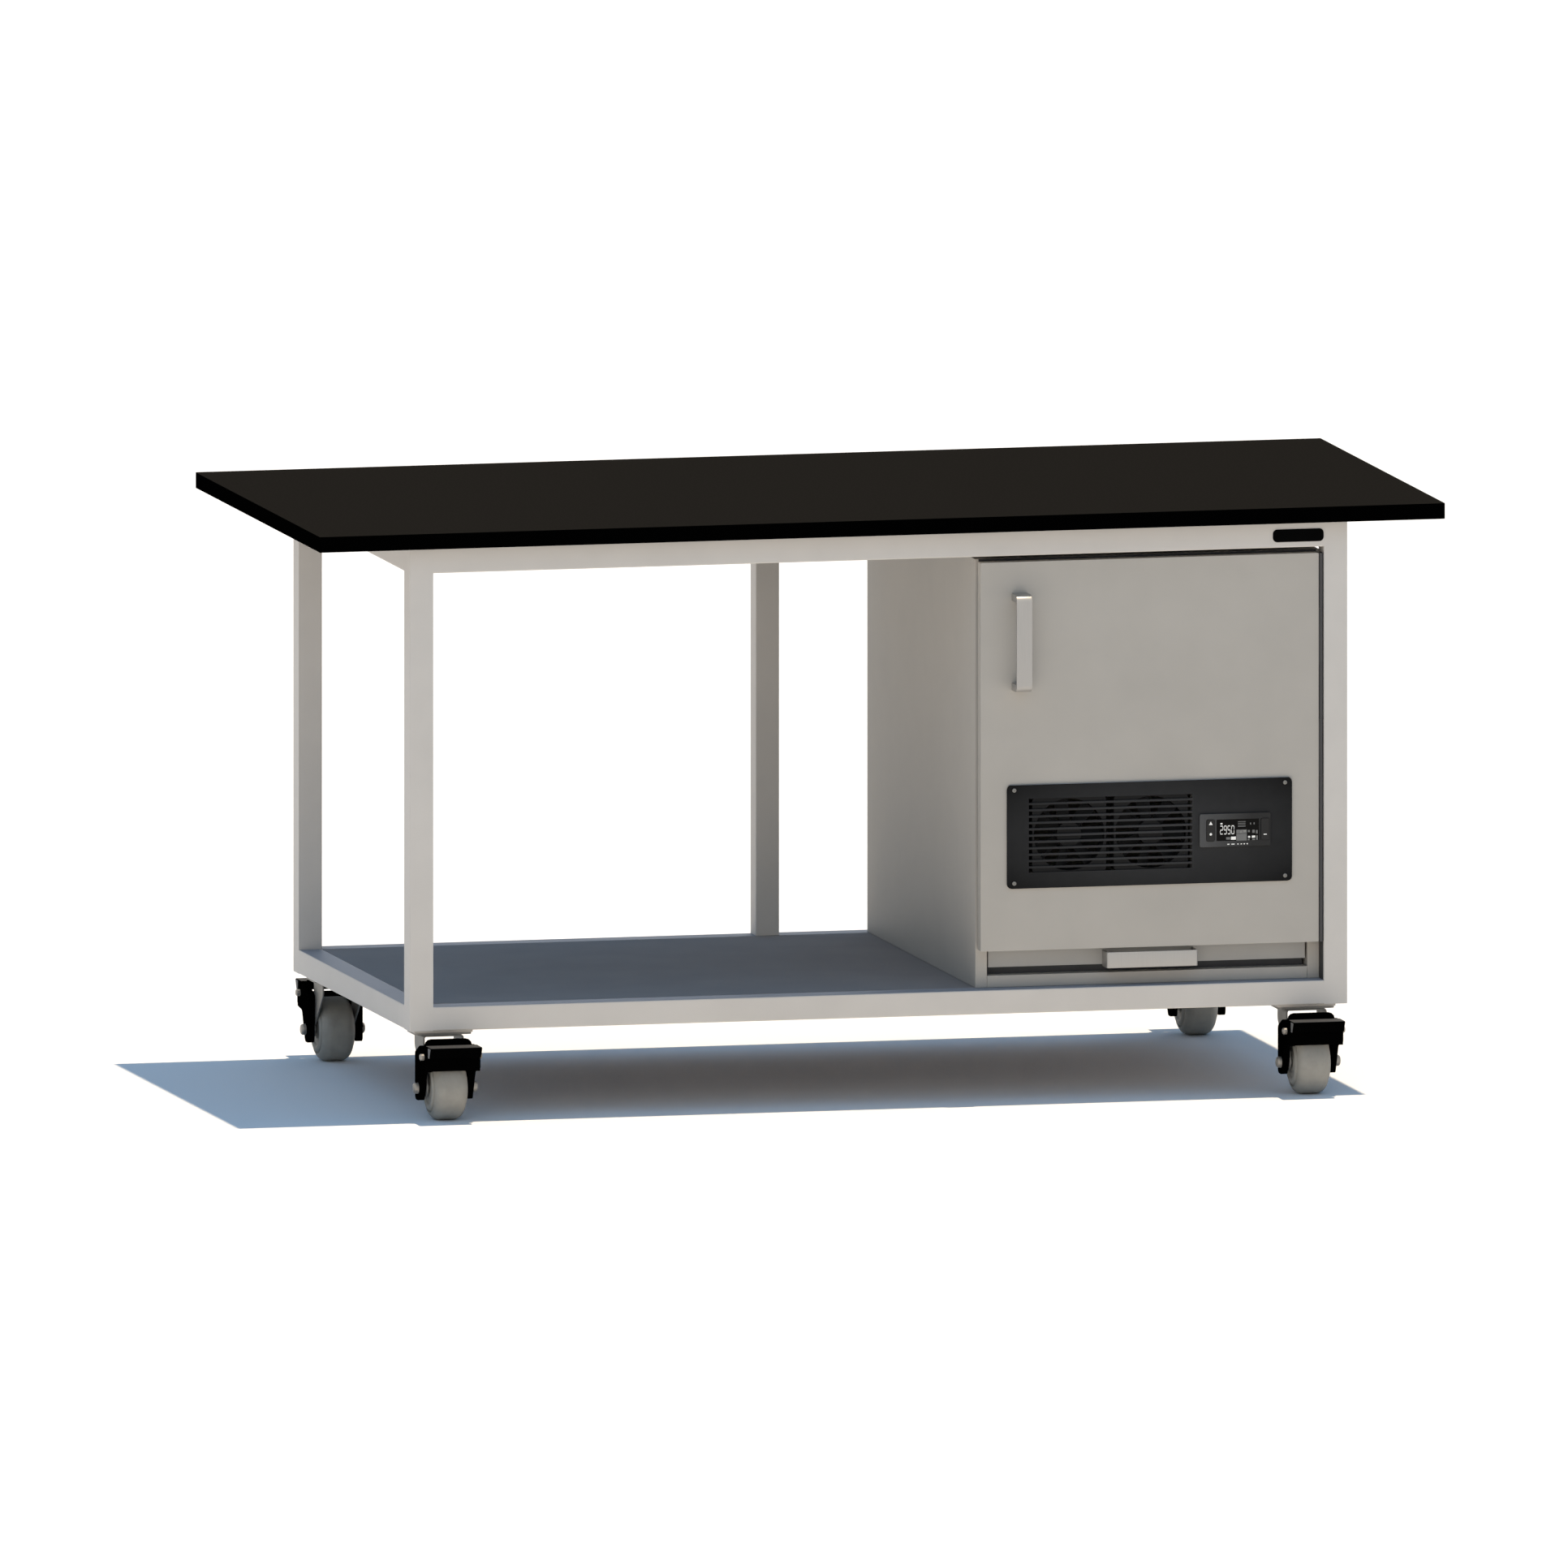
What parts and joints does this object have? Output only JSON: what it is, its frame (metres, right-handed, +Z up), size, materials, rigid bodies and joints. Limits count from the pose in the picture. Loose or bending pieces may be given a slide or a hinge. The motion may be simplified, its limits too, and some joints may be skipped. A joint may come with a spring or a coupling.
{
  "type": "mobile lab bench",
  "caption": "Mobile lab bench: overhanging dark worktop on a square-tube frame, lower shelf, vented fan-door cabinet with pull-out tray, and locking swivel casters.",
  "frame": {"origin": "on the floor under the centre of the bench", "axes": "+X to the right along the bench, +Y from the cabinet door to the back, +Z up"},
  "size_m": [1.8288, 0.912, 0.9385],
  "materials": {
    "frame_paint": "satin powder coat, warm light grey",
    "panel_paint": "painted board, satin warm grey",
    "tray_paint": "satin powder coat, warm grey",
    "worktop_resin": "matt black-brown resin",
    "shelf_paint": "satin powder coat, grey",
    "gasket_rubber": "matt black foam rubber",
    "satin_steel": "satin",
    "hinge_steel": "dark",
    "vent_black": "black powder coat",
    "fan_black": "black glass-filled plastic",
    "control_black": "satin black",
    "runner_zinc": "zinc plated",
    "caster_steel": "zinc plated, dull",
    "brake_black": "black nylon",
    "wheel_grey": "matt warm grey"
  },
  "bodies": {
    "bench": {"leg_rear_middle": "frame_paint", "leg_front_left": "frame_paint", "leg_front_right": "frame_paint", "leg_rear_left": "frame_paint", "leg_rear_right": "frame_paint", "top_rail_front": "frame_paint", "top_rail_rear": "frame_paint", "top_rail_left": "frame_paint", "top_rail_right": "frame_paint", "bottom_rail_front": "frame_paint", "bottom_rail_rear": "frame_paint", "bottom_rail_left": "frame_paint", "bottom_rail_right": "frame_paint", "worktop": "worktop_resin", "lower_shelf": "shelf_paint", "cabinet_left_side": "panel_paint", "cabinet_right_side": "panel_paint", "cabinet_top": "panel_paint", "cabinet_floor": "panel_paint", "cabinet_back": "panel_paint", "hinge_frame_leaf": "hinge_steel", "hinge_pin": "hinge_steel", "tray_runner_left": "runner_zinc", "tray_runner_right": "runner_zinc", "caster_plate_front_left": "caster_steel", "caster_plate_front_right": "caster_steel", "caster_plate_rear_left": "caster_steel", "caster_plate_rear_right": "caster_steel"},
    "door": {"door_panel": "panel_paint", "door_gasket": "gasket_rubber", "door_handle": "satin_steel", "hinge_door_leaf": "hinge_steel", "vent_plate": "vent_black", "fan_housing_left": "fan_black", "fan_housing_right": "fan_black", "controller": "control_black"},
    "fan_left": {"fan_rotor_left": "fan_black"},
    "fan_right": {"fan_rotor_right": "fan_black"},
    "up_down_key": {"key_up_down": "control_black"},
    "set_key": {"key_set": "control_black"},
    "tray": {"pull_out_tray": "tray_paint", "tray_pull": "satin_steel"},
    "caster_front_left": {"caster_fork_front_left": "caster_steel", "brake_housing_front_left": "brake_black"},
    "wheel_front_left": {"caster_wheel_front_left": "wheel_grey"},
    "pedal_front_left": {"brake_pedal_front_left": "brake_black"},
    "caster_front_right": {"caster_fork_front_right": "caster_steel", "brake_housing_front_right": "brake_black"},
    "wheel_front_right": {"caster_wheel_front_right": "wheel_grey"},
    "pedal_front_right": {"brake_pedal_front_right": "brake_black"},
    "caster_rear_left": {"caster_fork_rear_left": "caster_steel", "brake_housing_rear_left": "brake_black"},
    "wheel_rear_left": {"caster_wheel_rear_left": "wheel_grey"},
    "pedal_rear_left": {"brake_pedal_rear_left": "brake_black"},
    "caster_rear_right": {"caster_fork_rear_right": "caster_steel", "brake_housing_rear_right": "brake_black"},
    "wheel_rear_right": {"caster_wheel_rear_right": "wheel_grey"},
    "pedal_rear_right": {"brake_pedal_rear_right": "brake_black"}
  },
  "joints": [
    {"name": "door_hinge", "type": "hinge", "parent": "bench", "child": "door", "pos_m": [0.72025, -0.3892, 0.5515], "axis": [0, 0, 1], "range_deg": [0, 115]},
    {"name": "tray_slide", "type": "slide", "parent": "bench", "child": "tray", "axis": [0, -1, 0], "range_m": [0, 0.5]},
    {"name": "fan_left_spin", "type": "hinge", "parent": "door", "child": "fan_left", "pos_m": [0.31093, -0.3762, 0.42475], "axis": [0, 1, 0], "continuous": true},
    {"name": "fan_right_spin", "type": "hinge", "parent": "door", "child": "fan_right", "pos_m": [0.44357, -0.3762, 0.42475], "axis": [0, 1, 0], "continuous": true},
    {"name": "up_down_key_press", "type": "slide", "parent": "door", "child": "up_down_key", "axis": [0, 1, 0], "range_m": [0, 0.001], "stiffness_N_per_m": 400},
    {"name": "set_key_press", "type": "slide", "parent": "door", "child": "set_key", "axis": [0, 1, 0], "range_m": [0, 0.001], "stiffness_N_per_m": 400},
    {"name": "swivel_front_left", "type": "hinge", "parent": "bench", "child": "caster_front_left", "pos_m": [-0.7012, -0.3397, 0.1029], "axis": [0, 0, 1], "continuous": true},
    {"name": "roll_front_left", "type": "hinge", "parent": "caster_front_left", "child": "wheel_front_left", "pos_m": [-0.7012, -0.38, 0.0508], "axis": [1, 0, 0], "continuous": true},
    {"name": "brake_front_left", "type": "hinge", "parent": "caster_front_left", "child": "pedal_front_left", "pos_m": [-0.7012, -0.418, 0.1048], "axis": [1, 0, 0], "range_deg": [0, 12]},
    {"name": "swivel_front_right", "type": "hinge", "parent": "bench", "child": "caster_front_right", "pos_m": [0.7012, -0.3397, 0.1029], "axis": [0, 0, 1], "continuous": true},
    {"name": "roll_front_right", "type": "hinge", "parent": "caster_front_right", "child": "wheel_front_right", "pos_m": [0.7012, -0.38, 0.0508], "axis": [1, 0, 0], "continuous": true},
    {"name": "brake_front_right", "type": "hinge", "parent": "caster_front_right", "child": "pedal_front_right", "pos_m": [0.7012, -0.418, 0.1048], "axis": [1, 0, 0], "range_deg": [0, 12]},
    {"name": "swivel_rear_left", "type": "hinge", "parent": "bench", "child": "caster_rear_left", "pos_m": [-0.7012, 0.3397, 0.1029], "axis": [0, 0, 1], "continuous": true},
    {"name": "roll_rear_left", "type": "hinge", "parent": "caster_rear_left", "child": "wheel_rear_left", "pos_m": [-0.7012, 0.38, 0.0508], "axis": [1, 0, 0], "continuous": true},
    {"name": "brake_rear_left", "type": "hinge", "parent": "caster_rear_left", "child": "pedal_rear_left", "pos_m": [-0.7012, 0.418, 0.1048], "axis": [-1, 0, 0], "range_deg": [0, 12]},
    {"name": "swivel_rear_right", "type": "hinge", "parent": "bench", "child": "caster_rear_right", "pos_m": [0.7012, 0.3397, 0.1029], "axis": [0, 0, 1], "continuous": true},
    {"name": "roll_rear_right", "type": "hinge", "parent": "caster_rear_right", "child": "wheel_rear_right", "pos_m": [0.7012, 0.38, 0.0508], "axis": [1, 0, 0], "continuous": true},
    {"name": "brake_rear_right", "type": "hinge", "parent": "caster_rear_right", "child": "pedal_rear_right", "pos_m": [0.7012, 0.418, 0.1048], "axis": [-1, 0, 0], "range_deg": [0, 12]}
  ]
}
